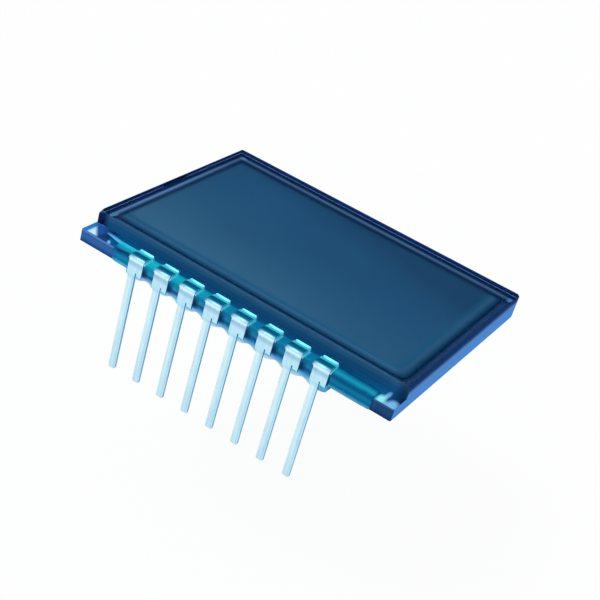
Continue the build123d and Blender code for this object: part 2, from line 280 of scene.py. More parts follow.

# %% Tones of the margin and of the field
# Margin tones are placed by their distance from the rim in millimetres, field tones by a slope
# across the plate that is 0 in its middle. The pale margin is painted light, while the dark
# margin and the darkening of the field are painted shade. A glint is a painted highlight, given
# as a blot is: middle, half lengths, turn and colour.
PAINTED_LIGHT_MARGIN = [(0.0, "#020E47"), (0.16, "#154677"), (0.36, "#224262"), (0.5, "#7B94A9"),
               (0.6, "#DCDDE5"), (0.76, "#89AABA"), (0.96, "#174759"), (1.26, "#51434C"),
               (1.6, "#38748C")]
PAINTED_SHADE_MARGIN = [(0.0, "#184468"), (0.5, "#6C89A7"), (0.75, "#132633"), (0.93, "#1E6676"),
               (1.1, "#537D89"), (1.32, "#678F9A"), (1.6, "#418493")]
FIELD_SHADE_TONES = [(-1.0, "#70989E"), (-0.4, "#56808A"), (0.1, "#4B7584"), (0.4, "#497382"),
               (0.8, "#3F626C")]
GLINTS = [((-14.3, -8.3), (0.22, 0.3), 0, "#A8D8EC"), ((-14.2, 10.6), (0.3, 0.2), 0, "#A8E0FF"),
          ((14.5, 10.4), (0.2, 0.3), 0, "#88C8F0")]
MARGIN = 1.6
DEPTHS = -1.0, 0.8
LONG_SIDES = 1.4
RIGHT_SIDE = 1.25
FAR_BEND = 0.25
NEAR_BEND = 0.9
GLINT_EDGE = 0.6
print("tones in mm from the rim:", [place for place, code in PAINTED_LIGHT_MARGIN])

# %% Distances from the rim and slopes across the plate
# The nearer of two sides counts, and a smooth minimum rounds the corner between them.
low, high = (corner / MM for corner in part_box("front_glass"))
middle = (low + high) / 2


def rims(tree, where):
    """How far in a point lies from the left and far sides, and from the near and right ones."""
    left = add_node(tree, "ShaderNodeMath", {"operation": "SUBTRACT"},
                    {0: where.outputs["X"], 1: low.x})
    far = add_node(tree, "ShaderNodeMath", {"operation": "MULTIPLY_ADD"},
                   {0: where.outputs["Y"], 1: -1 / LONG_SIDES, 2: high.y / LONG_SIDES})
    near = add_node(tree, "ShaderNodeMath", {"operation": "MULTIPLY_ADD"},
                    {0: where.outputs["Y"], 1: 1 / LONG_SIDES, 2: -low.y / LONG_SIDES})
    right = add_node(tree, "ShaderNodeMath", {"operation": "MULTIPLY_ADD"},
                     {0: where.outputs["X"], 1: -1 / RIGHT_SIDE, 2: high.x / RIGHT_SIDE})
    left_far = add_node(tree, "ShaderNodeMath", {"operation": "SMOOTH_MIN"},
                        {0: left.outputs[0], 1: far.outputs[0], 2: FAR_BEND})
    near_right = add_node(tree, "ShaderNodeMath", {"operation": "SMOOTH_MIN"},
                          {0: near.outputs[0], 1: right.outputs[0], 2: NEAR_BEND})
    return left_far, near_right


def slope(tree, spot, to_right, to_far):
    """A measure that grows across the plate, from its middle to its sides, by given amounts."""
    from_middle = add_node(tree, "ShaderNodeVectorMath", {"operation": "SUBTRACT"},
                           {0: spot.outputs[0], 1: middle})
    reach = (to_right / (high.x - middle.x), to_far / (high.y - middle.y), 0)
    return add_node(tree, "ShaderNodeVectorMath", {"operation": "DOT_PRODUCT"},
                    {0: from_middle.outputs[0], 1: reach})


print("front plate in mm:", [[round(c, 2) for c in corner] for corner in (low, high)])

# %% Margin and field pattern
# The field with its painted shade is laid first, then the painted shade of the dark margin, the
# painted light of the pale margin and the painted glints.
def screen_colour(tree, spot, where):
    """The colour of the cell as it is seen from the front, with its painted light and shade."""
    left_far, near_right = rims(tree, where)
    depth = slope(tree, spot, 0.4, 1)
    depth = add_node(tree, "ShaderNodeMapRange", None,
                     {"Value": depth.outputs["Value"], "From Min": DEPTHS[0],
                      "From Max": DEPTHS[1]})
    whole = add_node(tree, "ShaderNodeValToRGB", None, {"Fac": depth.outputs[0]},
                     spread(FIELD_SHADE_TONES, *DEPTHS)).outputs[0]
    for tones, rim, inner, way, start, stop in (
            (PAINTED_SHADE_MARGIN, near_right, 1.5, (1, 0), 0.84, 0.96),
            (PAINTED_LIGHT_MARGIN, left_far, 1.1, (0.1, 1), -0.3, 0.8)):
        # The margin reaches inner mm in, and its painted line dims from start to stop along its
        # way.
        fade = slope(tree, spot, *way)
        fade = add_node(tree, "ShaderNodeMapRange", None,
                        {"Value": fade.outputs["Value"], "From Min": start, "From Max": stop,
                         "To Min": 1.0, "To Max": 0.5})
        share = add_node(tree, "ShaderNodeMath", {"operation": "DIVIDE"},
                         {0: rim.outputs[0], 1: MARGIN})
        line = add_node(tree, "ShaderNodeValToRGB", None, {"Fac": share.outputs[0]},
                        spread(tones, 0, MARGIN))
        line = add_node(tree, "ShaderNodeMix", {"data_type": "RGBA", "blend_type": "MULTIPLY"},
                        {0: 1.0, 6: line.outputs[0], 7: fade.outputs[0]})
        mask = add_node(tree, "ShaderNodeMapRange", None,
                        {"Value": rim.outputs[0], "From Min": inner + 0.4, "From Max": inner})
        whole = add_node(tree, "ShaderNodeMix", {"data_type": "RGBA"},
                         {0: mask.outputs[0], 6: whole, 7: line.outputs[2]}).outputs[2]
    for place, half, turn, code in GLINTS:
        mask = blot(tree, spot, place, half, turn, GLINT_EDGE)
        whole = add_node(tree, "ShaderNodeMix", {"data_type": "RGBA"},
                         {0: mask.outputs[0], 6: whole, 7: linear(code)}).outputs[2]
    return whole


print("field tones:", len(FIELD_SHADE_TONES))

# %% [markdown]
# ## Glass
#
# Display glass is soda-lime float glass, 1.1 mm thick, scribed and snapped to size. Its faces
# are perfectly clear, while the snapped sides are finely hackled and take up colour from the
# light that runs inside the plate. So each plate gets two finishes: one for the faces, and one
# for the cut sides. Lamps have to reach what lies under the glass, and a real refracting shader
# would block them, so shadow rays and diffuse rays pass straight through.

# %% Clear face of the front plate
# Soda-lime glass: index 1.52, a faint cold tint, and a mirror image that grows at low angles.
FACE_MIRROR = 0.22
glass_face, tree, output = new_material("soda_lime_glass_face")
bend = add_node(tree, "ShaderNodeBsdfRefraction", None,
                {"Color": linear("#DCEBFA"), "Roughness": 0.0, "IOR": 1.52})
mirror = add_node(tree, "ShaderNodeBsdfGlossy", None,
                  {"Color": linear("#1C64D0"), "Roughness": 0.02})
edge_on = add_node(tree, "ShaderNodeFresnel", None, {"IOR": 1.52})
share = add_node(tree, "ShaderNodeMath", {"operation": "MULTIPLY"},
                 {0: edge_on.outputs[0], 1: FACE_MIRROR})
surface = add_node(tree, "ShaderNodeMixShader", None,
                   {0: share.outputs[0], 1: bend.outputs[0], 2: mirror.outputs[0]})
rays = add_node(tree, "ShaderNodeLightPath")
either = add_node(tree, "ShaderNodeMath", {"operation": "MAXIMUM"},
                  {0: rays.outputs["Is Shadow Ray"], 1: rays.outputs["Is Diffuse Ray"]})
clear = add_node(tree, "ShaderNodeBsdfTransparent", None, {"Color": linear("#F0F6FC")})
mixed = add_node(tree, "ShaderNodeMixShader", None,
                 {0: either.outputs[0], 1: surface.outputs[0], 2: clear.outputs[0]})
tree.links.new(mixed.outputs[0], output.inputs["Surface"])
print("face finish:", len(tree.nodes), "nodes")

# %% [markdown]
# The cut sides carry two stacks of tones, told by height in millimetres, and both are painted
# light and shade. The three outer sides are painted bright blue for the light that the whole
# plate gathers, and darker over the upper part of the front plate, up to the seamed edge, as
# painted shade. The side over the ledge is a dark petrol blue with a painted highlight along the
# top of the rear plate. A fine noise shifts both a little, as the hackle of the snapped glass
# does.

# %% Cut sides of both plates
SIDE_TONES = [(0.2, "#4C90DC"), (0.4, "#4890DA"), (0.65, "#5397E3"), (1.0, "#548FD8"),
              (1.6, "#5D92CF"), (1.9, "#4269A5"), (2.1, "#14386A"), (2.28, "#133863"),
              (2.38, "#142558")]
PIN_SIDE_TONES = [(0.25, "#04397B"), (0.5, "#245491"), (0.75, "#3460A0"), (1.1, "#2E5C98"),
                  (1.24, "#5888BC"), (1.38, "#066092"), (1.6, "#1A5D8D"), (1.85, "#1B5682"),
                  (2.1, "#295C83"), (2.34, "#2A5977")]
HEIGHTS = 0.2, 2.4
HACKLE_SHIFT = 0.06
TOWARD_PINS = -0.25
cut_glass, tree, output = new_material("soda_lime_glass_cut")
spot, where = place_in_mm(tree)
hackle = add_node(tree, "ShaderNodeTexNoise", None,
                  {"Vector": spot.outputs[0], "Scale": 0.9, "Detail": 4.0})
level = add_node(tree, "ShaderNodeMath", {"operation": "MULTIPLY_ADD"},
                 {0: hackle.outputs["Fac"], 1: 2 * HACKLE_SHIFT, 2: where.outputs["Z"]})
level = add_node(tree, "ShaderNodeMapRange", None,
                 {"Value": level.outputs[0], "From Min": HEIGHTS[0] + HACKLE_SHIFT,
                  "From Max": HEIGHTS[1] + HACKLE_SHIFT})
outer = add_node(tree, "ShaderNodeValToRGB", None, {"Fac": level.outputs[0]},
                 spread(SIDE_TONES, *HEIGHTS))
inner = add_node(tree, "ShaderNodeValToRGB", None, {"Fac": level.outputs[0]},
                 spread(PIN_SIDE_TONES, *HEIGHTS))
geometry = add_node(tree, "ShaderNodeNewGeometry")
facing = add_node(tree, "ShaderNodeSeparateXYZ", None, {0: geometry.outputs["Normal"]})
to_pins = add_node(tree, "ShaderNodeMath", {"operation": "LESS_THAN"},
                   {0: facing.outputs["Y"], 1: TOWARD_PINS})
colour = add_node(tree, "ShaderNodeMix", {"data_type": "RGBA"},
                  {0: to_pins.outputs[0], 6: outer.outputs[0], 7: inner.outputs[0]})
print("side tones:", len(SIDE_TONES), "and", len(PIN_SIDE_TONES))

# %% [markdown]
# Some places differ from the rest. At the left end of the front plate the side over the ledge
# turns almost black in painted shade, and at the right end both plates darken in painted shade,
# the rear one a millimetre earlier. Where a side is seen from inside, through the top face, it
# lies in the shade of the plate: its blue turns to the navy rim round the screen. The chipped
# corner carries a painted blue highlight.

# %% Painted shade at the ends, chip highlight and inside of the cut glass
LEFT_END_SHADE = "#060C30"
INSIDE_BLUE = "#103A80"
CHIP_HIGHLIGHT = "#24549C"
CELL_HEIGHT = 1.305
LEFT_END = -13.8, -14.35
RIGHT_END = 12.8, 13.6
RIGHT_SHADE = 0.42
# The left end of the side over the ledge gets painted shade, and at the right end the pin side
# darkens in painted shade.
left_end = add_node(tree, "ShaderNodeMapRange", None,
                    {"Value": where.outputs["X"], "From Min": LEFT_END[0],
                     "From Max": LEFT_END[1]})
upper = add_node(tree, "ShaderNodeMath", {"operation": "GREATER_THAN"},
                 {0: where.outputs["Z"], 1: CELL_HEIGHT})
dark = left_end
for mask in (upper, to_pins):
    dark = add_node(tree, "ShaderNodeMath", {"operation": "MULTIPLY"},
                    {0: dark.outputs[0], 1: mask.outputs[0]})
ended = add_node(tree, "ShaderNodeMix", {"data_type": "RGBA"},
                 {0: dark.outputs[0], 6: colour.outputs[2], 7: linear(LEFT_END_SHADE)})
right_end = add_node(tree, "ShaderNodeMath", {"operation": "SUBTRACT"},
                     {0: where.outputs["X"], 1: upper.outputs[0]})
right_end = add_node(tree, "ShaderNodeMapRange", None,
                     {"Value": right_end.outputs[0], "From Min": RIGHT_END[0],
                      "From Max": RIGHT_END[1], "To Min": 1.0, "To Max": RIGHT_SHADE})
dimmed = add_node(tree, "ShaderNodeMix", {"data_type": "RGBA", "blend_type": "MULTIPLY"},
                  {0: to_pins.outputs[0], 6: ended.outputs[2], 7: right_end.outputs[0]})
print("ends darkened:", len(tree.nodes), "nodes so far")

# %% Hackle and sheen of the cut sides
# Hackle is finer than the render can show, so its noise and its relief are drawn coarser.
CHIP_MIDDLE, CHIP_HALF = (-14.85, -9.35), (0.5, 0.6)
UPWARD = 0.5
CUT_SHEEN = 0.06
grit = add_node(tree, "ShaderNodeBump", None,
                {"Height": hackle.outputs["Fac"], "Strength": 0.1, "Distance": 0.02 * MM})
# The chip's upward slope gets a painted blue highlight.
chip = blot(tree, spot, CHIP_MIDDLE, CHIP_HALF, 0)
upward = add_node(tree, "ShaderNodeMath", {"operation": "GREATER_THAN"},
                  {0: facing.outputs["Z"], 1: UPWARD})
chip = add_node(tree, "ShaderNodeMath", {"operation": "MULTIPLY"},
                {0: chip.outputs[0], 1: upward.outputs[0]})
chipped = add_node(tree, "ShaderNodeMix", {"data_type": "RGBA"},
                   {0: chip.outputs[0], 6: dimmed.outputs[2], 7: linear(CHIP_HIGHLIGHT)})
hackled = add_node(tree, "ShaderNodeBsdfPrincipled", None,
                   {"Base Color": chipped.outputs[2], "Roughness": 0.4, "IOR": 1.52,
                    "Specular IOR Level": 0.0, "Normal": grit.outputs[0]})
sheen = add_node(tree, "ShaderNodeBsdfGlossy", None,
                 {"Color": linear("#4488E0"), "Roughness": 0.25, "Normal": grit.outputs[0]})
snapped = add_node(tree, "ShaderNodeMixShader", None,
                   {0: CUT_SHEEN, 1: hackled.outputs[0], 2: sheen.outputs[0]})
inner_wall = add_node(tree, "ShaderNodeBsdfDiffuse", None, {"Color": linear(INSIDE_BLUE)})
mixed = add_node(tree, "ShaderNodeMixShader", None,
                 {0: geometry.outputs["Backfacing"], 1: snapped.outputs[0],
                  2: inner_wall.outputs[0]})
tree.links.new(mixed.outputs[0], output.inputs["Surface"])
print("cut finish:", len(tree.nodes), "nodes")

# %% [markdown]
# The ledge is the bare strip of the rear plate in front of the front plate. It is deep blue,
# lighter toward its left end as painted light and darker at its right end as painted shade. Near
# its two ends, the light that has run along the plate and comes out at the corner is painted on
# as pale patches, with a resin drop painted as a bright highlight. Each of them is a soft-edged
# ellipse, given by its middle, its two half lengths, its turn and its colour. One more painted
# highlight, in the left corner, has straight edges and a slanting right side. Under the front
# plate the rear plate shows the same pattern as the cell, with its painted light and shade.

# %% Tones of the ledge
# The ledge grows lighter toward its left end as painted light and darker at its right end as
# painted shade; the blots are painted highlights.
LEDGE_TONES = [(-15.0, "#2B85CA"), (-14.4, "#186EBE"), (-13.7, "#26528C"), (-13.0, "#07336F"),
               (-12.2, "#035A8F"), (0.0, "#135588"), (10.0, "#0A5080"), (13.5, "#0C6192"),
               (15.0, "#0F1249")]
LEDGE_HIGHLIGHTS = [((-13.0, -11.1), (0.4, 0.4), 0, "#1C3C68"),
               ((-12.32, -11.25), (0.13, 0.33), 30, "#78B8EC"),
               ((-14.0, -10.3), (0.4, 0.6), 40, "#2456A8"),
               ((-12.3, -10.28), (0.85, 0.17), -12, "#5CB4EC"),
               ((14.2, -11.28), (0.8, 0.3), 0, "#70B4E6"),
               ((14.6, -11.0), (0.4, 0.55), 0, "#7CC0EE"),
               ((13.8, -10.25), (0.17, 0.6), 0, "#70B8F4"),
               ((13.62, -11.0), (0.32, 0.5), 0, "#98FAFF")]
LEFT_HIGHLIGHT = "#C8F4FF"
LEDGE_ENDS = -15.0, 15.0
PATCH_LEFT = -14.62, -14.35
PATCH_NEAR = -11.42, -11.27
PATCH_SLANT = -22.45, -22.8
SLANT_RATE = 0.8
print("ledge tones:", len(LEDGE_TONES), "and blots:", len(LEDGE_HIGHLIGHTS))

# %% Ledge of the rear plate
# The painted highlights are laid over the ledge's tones. The mask of the left highlight is the
# product of its three edges.
ledge, tree, output = new_material("soda_lime_glass_ledge")
spot, where = place_in_mm(tree)
along = add_node(tree, "ShaderNodeMapRange", None,
                 {"Value": where.outputs["X"], "From Min": LEDGE_ENDS[0],
                  "From Max": LEDGE_ENDS[1]})
tone = add_node(tree, "ShaderNodeValToRGB", None, {"Fac": along.outputs[0]},
                spread(LEDGE_TONES, *LEDGE_ENDS)).outputs[0]
for place, half, turn, code in LEDGE_HIGHLIGHTS:
    mask = blot(tree, spot, place, half, turn)
    tone = add_node(tree, "ShaderNodeMix", {"data_type": "RGBA"},
                    {0: mask.outputs[0], 6: tone, 7: linear(code)}).outputs[2]
slant = add_node(tree, "ShaderNodeMath", {"operation": "MULTIPLY_ADD"},
                 {0: where.outputs["Y"], 1: SLANT_RATE, 2: where.outputs["X"]})
patch = add_node(tree, "ShaderNodeMapRange", None,
                 {"Value": slant.outputs[0], "From Min": PATCH_SLANT[0],
                  "From Max": PATCH_SLANT[1]})
for way, (start, stop) in (("X", PATCH_LEFT), ("Y", PATCH_NEAR)):
    edge = add_node(tree, "ShaderNodeMapRange", None,
                    {"Value": where.outputs[way], "From Min": start, "From Max": stop})
    patch = add_node(tree, "ShaderNodeMath", {"operation": "MULTIPLY"},
                     {0: patch.outputs[0], 1: edge.outputs[0]})
print("ledge patches:", len(tree.nodes), "nodes so far")

# %% Ripple and gloss of the ledge
# Float glass is almost flat. A faint ripple keeps the blue from looking like paint.
LEDGE_GLOSS = 0.04
lit = add_node(tree, "ShaderNodeMix", {"data_type": "RGBA"},
               {0: patch.outputs[0], 6: tone, 7: linear(LEFT_HIGHLIGHT)})
ripple = add_node(tree, "ShaderNodeTexNoise", None,
                  {"Vector": spot.outputs[0], "Scale": 1.6, "Detail": 2.0})
ripple = add_node(tree, "ShaderNodeMapRange", None,
                  {"Value": ripple.outputs["Fac"], "To Min": 0.86, "To Max": 1.14})
rippled = add_node(tree, "ShaderNodeMix", {"data_type": "RGBA", "blend_type": "MULTIPLY"},
                   {0: 1.0, 6: lit.outputs[2], 7: ripple.outputs[0]})
covered = add_node(tree, "ShaderNodeMath", {"operation": "GREATER_THAN"},
                   {0: where.outputs["Y"], 1: low.y})
colour = add_node(tree, "ShaderNodeMix", {"data_type": "RGBA"},
                  {0: covered.outputs[0], 6: rippled.outputs[2],
                   7: screen_colour(tree, spot, where)})
matt = add_node(tree, "ShaderNodeBsdfPrincipled", None,
                {"Base Color": colour.outputs[2], "Roughness": 0.5, "IOR": 1.52,
                 "Specular IOR Level": 0.0})
gloss = add_node(tree, "ShaderNodeBsdfGlossy", None,
                 {"Color": linear("#3F8CD8"), "Roughness": 0.06})
shader = add_node(tree, "ShaderNodeMixShader", None,
                  {0: LEDGE_GLOSS, 1: matt.outputs[0], 2: gloss.outputs[0]})
tree.links.new(shader.outputs[0], output.inputs["Surface"])
print("ledge finish:", len(tree.nodes), "nodes")

# %% [markdown]
# A scribed plate is a plain block at first. Its corners are clipped so that they don't chip,
# and the edges of its outer face are seamed, which means ground to a narrow slope. Both are
# made with the bevel operator, on edges that are picked by where they are. The front plate's
# near left corner is chipped as well: one slanting cut takes its tip off.

# %% Pick and bevel edges
EDGE_REACH = 0.01 * MM


def bevel_edges(piece, wanted, width, segments=1):
    """Bevels the edges of a piece whose two end points the test accepts."""
    bpy.ops.object.mode_set(mode="EDIT")
    bpy.ops.mesh.select_mode(type="EDGE")
    bpy.ops.mesh.select_all(action="DESELECT")
    bpy.ops.object.mode_set(mode="OBJECT")
    points = piece.data.vertices
    for edge in piece.data.edges:
        edge.select = wanted(*(points[i].co for i in edge.vertices))
    bpy.ops.object.mode_set(mode="EDIT")
    bpy.ops.mesh.bevel(offset=width, segments=segments)
    bpy.ops.object.mode_set(mode="OBJECT")


def upright_at(x, y):
    """A test for the upright edge that stands at x and y."""
    return lambda a, b: all(abs(p.x - x) + abs(p.y - y) < EDGE_REACH for p in (a, b))


print("edges are picked within", EDGE_REACH / MM, "mm")

# %% Measures of the plates
# Each plate is drawn in by a hair above and below, so that no two faces lie in one plane. The
# clips are in millimetres, for each corner as (on the right, on the far side). The chip's slope
# meets the near left upright CHIP_DROP below the top, and runs further along the left side.
HAIR = 0.0025 * MM
CLIPS = {(0, 0): 0.06, (1, 0): 0.08, (1, 1): 0.25, (0, 1): 0.08}
UPPER_SEAM = 0.07 * MM
LOWER_SEAM = 0.02 * MM
ARRIS = 0.012 * MM
CHIP_DROP = 0.28 * MM
CHIP_ALONG_NEAR, CHIP_ALONG_LEFT = 0.4 * MM, 0.65 * MM
CHIP_NORMAL = Vector((-CHIP_DROP / CHIP_ALONG_NEAR, -CHIP_DROP / CHIP_ALONG_LEFT, 1))
SHARP_CORNER = math.radians(60)
FLAT_FACE = 0.95
SMOOTH_BELOW = math.radians(15)
print("clips in mm:", list(CLIPS.values()))

# %% Plates with clipped corners and seamed edges
# One function makes both plates, because they differ only in size, chip and outer face.
def chip_corner(top_corner):
    """Cuts the tip off the edited plate at its near left top corner."""
    bpy.ops.object.mode_set(mode="EDIT")
    bpy.ops.mesh.select_all(action="SELECT")
    bpy.ops.mesh.bisect(plane_co=top_corner - Vector((0, 0, CHIP_DROP)), threshold=FINE,
                        plane_no=CHIP_NORMAL.normalized(), use_fill=True, clear_outer=True)
    bpy.ops.object.mode_set(mode="OBJECT")


def glass_plate(name, node, face_finish, outward):
    """A plate the size of its CAD node; outward is 1 where its outer face is the upper one."""
    near_left, far_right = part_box(node)
    near_left.z += HAIR
    far_right.z -= HAIR
    bpy.ops.object.select_all(action="DESELECT")
    bpy.ops.mesh.primitive_cube_add(size=1, location=(near_left + far_right) / 2,
                                    scale=far_right - near_left)
    plate = bpy.context.object
    plate.name = name
    bpy.ops.object.transform_apply(location=True, rotation=True, scale=True)
    for (right_side, far_side), clip in CLIPS.items():
        x = far_right.x if right_side else near_left.x
        y = far_right.y if far_side else near_left.y
        bevel_edges(plate, upright_at(x, y), clip * MM)
    outer_z, seam = (far_right.z, UPPER_SEAM) if outward > 0 else (near_left.z, LOWER_SEAM)
    bevel_edges(plate, lambda a, b: max(abs(a.z - outer_z), abs(b.z - outer_z)) < HAIR, seam, 2)
    if outward > 0:
        chip_corner(Vector((near_left.x, near_left.y, far_right.z)))
    arris = plate.modifiers.new("arris", "BEVEL")
    arris.width = ARRIS
    arris.segments = 1
    arris.limit_method = "ANGLE"
    arris.angle_limit = SHARP_CORNER
    bpy.ops.object.modifier_apply(modifier=arris.name)
    plate.data.materials.append(face_finish)
    plate.data.materials.append(cut_glass)
    for face in plate.data.polygons:
        face.material_index = 0 if abs(face.normal.z) > FLAT_FACE else 1
    bpy.ops.object.shade_smooth_by_angle(angle=SMOOTH_BELOW)
    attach(plate, "root")
    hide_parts(node)
    print(name, len(plate.data.polygons), "faces")


glass_plate("front_glass_plate", "front_glass", glass_face, 1)
glass_plate("rear_glass_plate", "rear_glass", ledge, -1)

# %% [markdown]
# ## Films
#
# A polarizing film is a stretched, dyed plastic sheet. The front one absorbs light and is
# slightly blue; here most of its tint is given to the layer below, because a film that is too
# dark also hides the seal. So the film itself is clear, with a thin share of blue satin on its
# flat faces. The rear one carries a silvery reflector, so it is opaque.

# %% Front film
# Cellulose triacetate: a clear sheet with a soft satin gloss. Its grain is too fine to show, so
# it is drawn coarser.
FILM_SATIN = 0.07
FILM_GLOSS = 0.2
front_film, tree, output = new_material("triacetate_polarizing_film")
spot = place_in_mm(tree)[0]
clear = add_node(tree, "ShaderNodeBsdfTransparent", None, {"Color": linear("#F4F8FA")})
grain = add_node(tree, "ShaderNodeTexNoise", None,
                 {"Vector": spot.outputs[0], "Scale": 3.0, "Detail": 2.0})
tone = add_node(tree, "ShaderNodeValToRGB", None, {"Fac": grain.outputs["Fac"]},
                [(0.3, "#163850"), (0.7, "#1C425C")])
satin = add_node(tree, "ShaderNodeBsdfPrincipled", None,
                 {"Base Color": tone.outputs[0], "Roughness": 0.4, "IOR": 1.49,
                  "Specular IOR Level": 0.0})
gloss = add_node(tree, "ShaderNodeBsdfGlossy", None,
                 {"Color": linear("#145CB4"), "Roughness": 0.1})
satin = add_node(tree, "ShaderNodeMixShader", None,
                 {0: FILM_GLOSS, 1: satin.outputs[0], 2: gloss.outputs[0]})
geometry = add_node(tree, "ShaderNodeNewGeometry")
facing = add_node(tree, "ShaderNodeSeparateXYZ", None, {0: geometry.outputs["Normal"]})
flat = add_node(tree, "ShaderNodeMapRange", None,
                {"Value": facing.outputs["Z"], "From Min": 0.8, "From Max": 1.0,
                 "To Max": FILM_SATIN})
mixed = add_node(tree, "ShaderNodeMixShader", None,
                 {0: flat.outputs[0], 1: clear.outputs[0], 2: satin.outputs[0]})
tree.links.new(mixed.outputs[0], output.inputs["Surface"])
dress(nodes["front_polarizer"], front_film)
print("front film:", len(tree.nodes), "nodes")

# %% Rear film
# A reflective film looks like brushed silver paper: metallic, dull, with a fine grain.
rear_film, tree, output = new_material("reflective_polarizing_film")
spot = place_in_mm(tree)[0]
grain = add_node(tree, "ShaderNodeTexNoise", None,
                 {"Vector": spot.outputs[0], "Scale": 5.0, "Detail": 3.0})
tone = add_node(tree, "ShaderNodeValToRGB", None, {"Fac": grain.outputs["Fac"]},
                [(0.3, "#7F9AB4"), (0.7, "#93ACC4")])
relief = add_node(tree, "ShaderNodeBump", None,
                  {"Height": grain.outputs["Fac"], "Strength": 0.1, "Distance": 0.01 * MM})
shader = add_node(tree, "ShaderNodeBsdfPrincipled", None,
                  {"Base Color": tone.outputs[0], "Metallic": 0.6, "Roughness": 0.42,
                   "Normal": relief.outputs[0]})
tree.links.new(shader.outputs[0], output.inputs["Surface"])
dress(nodes["rear_polarizer"], rear_film)
print("rear film:", len(tree.nodes), "nodes")

# %% [markdown]
# ## The cell between the plates
#
# Three CAD parts make up what is seen through the front film: the seal ring, the liquid
# crystal and the common electrode. They share one finish, so that no edge shows between them.

# %% Liquid crystal and seal
# The cell is matt and a little cloudy, because its colour comes from below a film and through
# glass. The clouds are about a centimetre wide.
cell, tree, output = new_material("nematic_cell")
spot, where = place_in_mm(tree)
seen = screen_colour(tree, spot, where)
clouds = add_node(tree, "ShaderNodeTexNoise", None,
                  {"Vector": spot.outputs[0], "Scale": 0.11, "Detail": 1.0})
clouds = add_node(tree, "ShaderNodeMapRange", None,
                  {"Value": clouds.outputs["Fac"], "From Min": 0.3, "From Max": 0.7,
                   "To Min": 0.94, "To Max": 1.06})
colour = add_node(tree, "ShaderNodeMix", {"data_type": "RGBA", "blend_type": "MULTIPLY"},
                  {0: 1.0, 6: seen, 7: clouds.outputs[0]})
shader = add_node(tree, "ShaderNodeBsdfPrincipled", None,
                  {"Base Color": colour.outputs[2], "Roughness": 0.8,
                   "Specular IOR Level": 0.0})
tree.links.new(shader.outputs[0], output.inputs["Surface"])
for node in ("seal_ring", "liquid_crystal", "common_electrode"):
    dress(nodes[node], cell)
print("cell finish:", len(tree.nodes), "nodes")

# %% Electrodes and transfer dot
# Indium tin oxide is a clear coat: only a faint grey-blue haze tells it from bare glass.
COAT_HAZE = 0.04
coat, tree, output = new_material("indium_tin_oxide_coat")
spot = place_in_mm(tree)[0]
clear = add_node(tree, "ShaderNodeBsdfTransparent", None, {"Color": (0.98, 0.99, 1, 1)})
haze = add_node(tree, "ShaderNodeTexNoise", None, {"Vector": spot.outputs[0], "Scale": 0.6})
tone = add_node(tree, "ShaderNodeValToRGB", None, {"Fac": haze.outputs["Fac"]},
                [(0.3, "#5C7FA8"), (0.7, "#6C95B4")])
shader = add_node(tree, "ShaderNodeBsdfPrincipled", None,
                  {"Base Color": tone.outputs[0], "Roughness": 0.15})
mixed = add_node(tree, "ShaderNodeMixShader", None,
                 {0: COAT_HAZE, 1: clear.outputs[0], 2: shader.outputs[0]})
tree.links.new(mixed.outputs[0], output.inputs["Surface"])
for node in ("segment_electrodes", "transfer_dot"):
    dress(nodes[node], coat)
print("coat:", len(tree.nodes), "nodes")

# %% [markdown]
# The cell was filled through a gap in the seal, which a drop of acrylic resin closes. Outside
# the glass the drop is a cloudy blue pillow. Its tongue lies between the plates and looks like
# the seal on either side of it, so there it takes the same pattern.

# %% Port plug
GLASS_LEFT = -15.0
plug, tree, output = new_material("acrylic_port_plug")
spot, where = place_in_mm(tree)
seen = screen_colour(tree, spot, where)
cloud = add_node(tree, "ShaderNodeTexNoise", None,
                 {"Vector": spot.outputs[0], "Scale": 0.9, "Detail": 2.0})
tone = add_node(tree, "ShaderNodeValToRGB", None, {"Fac": cloud.outputs["Fac"]},
                [(0.3, "#4C8CC0"), (0.7, "#7CB0DC")])
outside = add_node(tree, "ShaderNodeMath", {"operation": "LESS_THAN"},
                   {0: where.outputs["X"], 1: GLASS_LEFT})
colour = add_node(tree, "ShaderNodeMix", {"data_type": "RGBA"},
                  {0: outside.outputs[0], 6: seen, 7: tone.outputs[0]})
shader = add_node(tree, "ShaderNodeBsdfPrincipled", None,
                  {"Base Color": colour.outputs[2], "Roughness": 0.15, "IOR": 1.49,
                   "Specular IOR Level": 0.3})
tree.links.new(shader.outputs[0], output.inputs["Surface"])
dress(nodes["fill_port_plug"], plug)
print("plug:", len(tree.nodes), "nodes")

# %% [markdown]
# ## Pins
#
# The pins are stamped from thin copper-alloy strip, bent to a clip, and tinned. Bright tin is a
# soft cold white. Its tones here are painted light and shade: painted highlights on the bend and
# the finger's tip, painted shade in the crease, and painted reflections of the resin round it,
# darkest in the valley of the finger. So the tones follow one measure that runs up the front of
# a head, over its bend, down into the valley of the finger and up to its tip: height plus
# distance back, in millimetres. The same measure serves the resin that fills the valley.

# %% Tones up the head and over the finger
RUN_SHIFT = 11.9
HEAD_ENDS = -0.1, 3.3
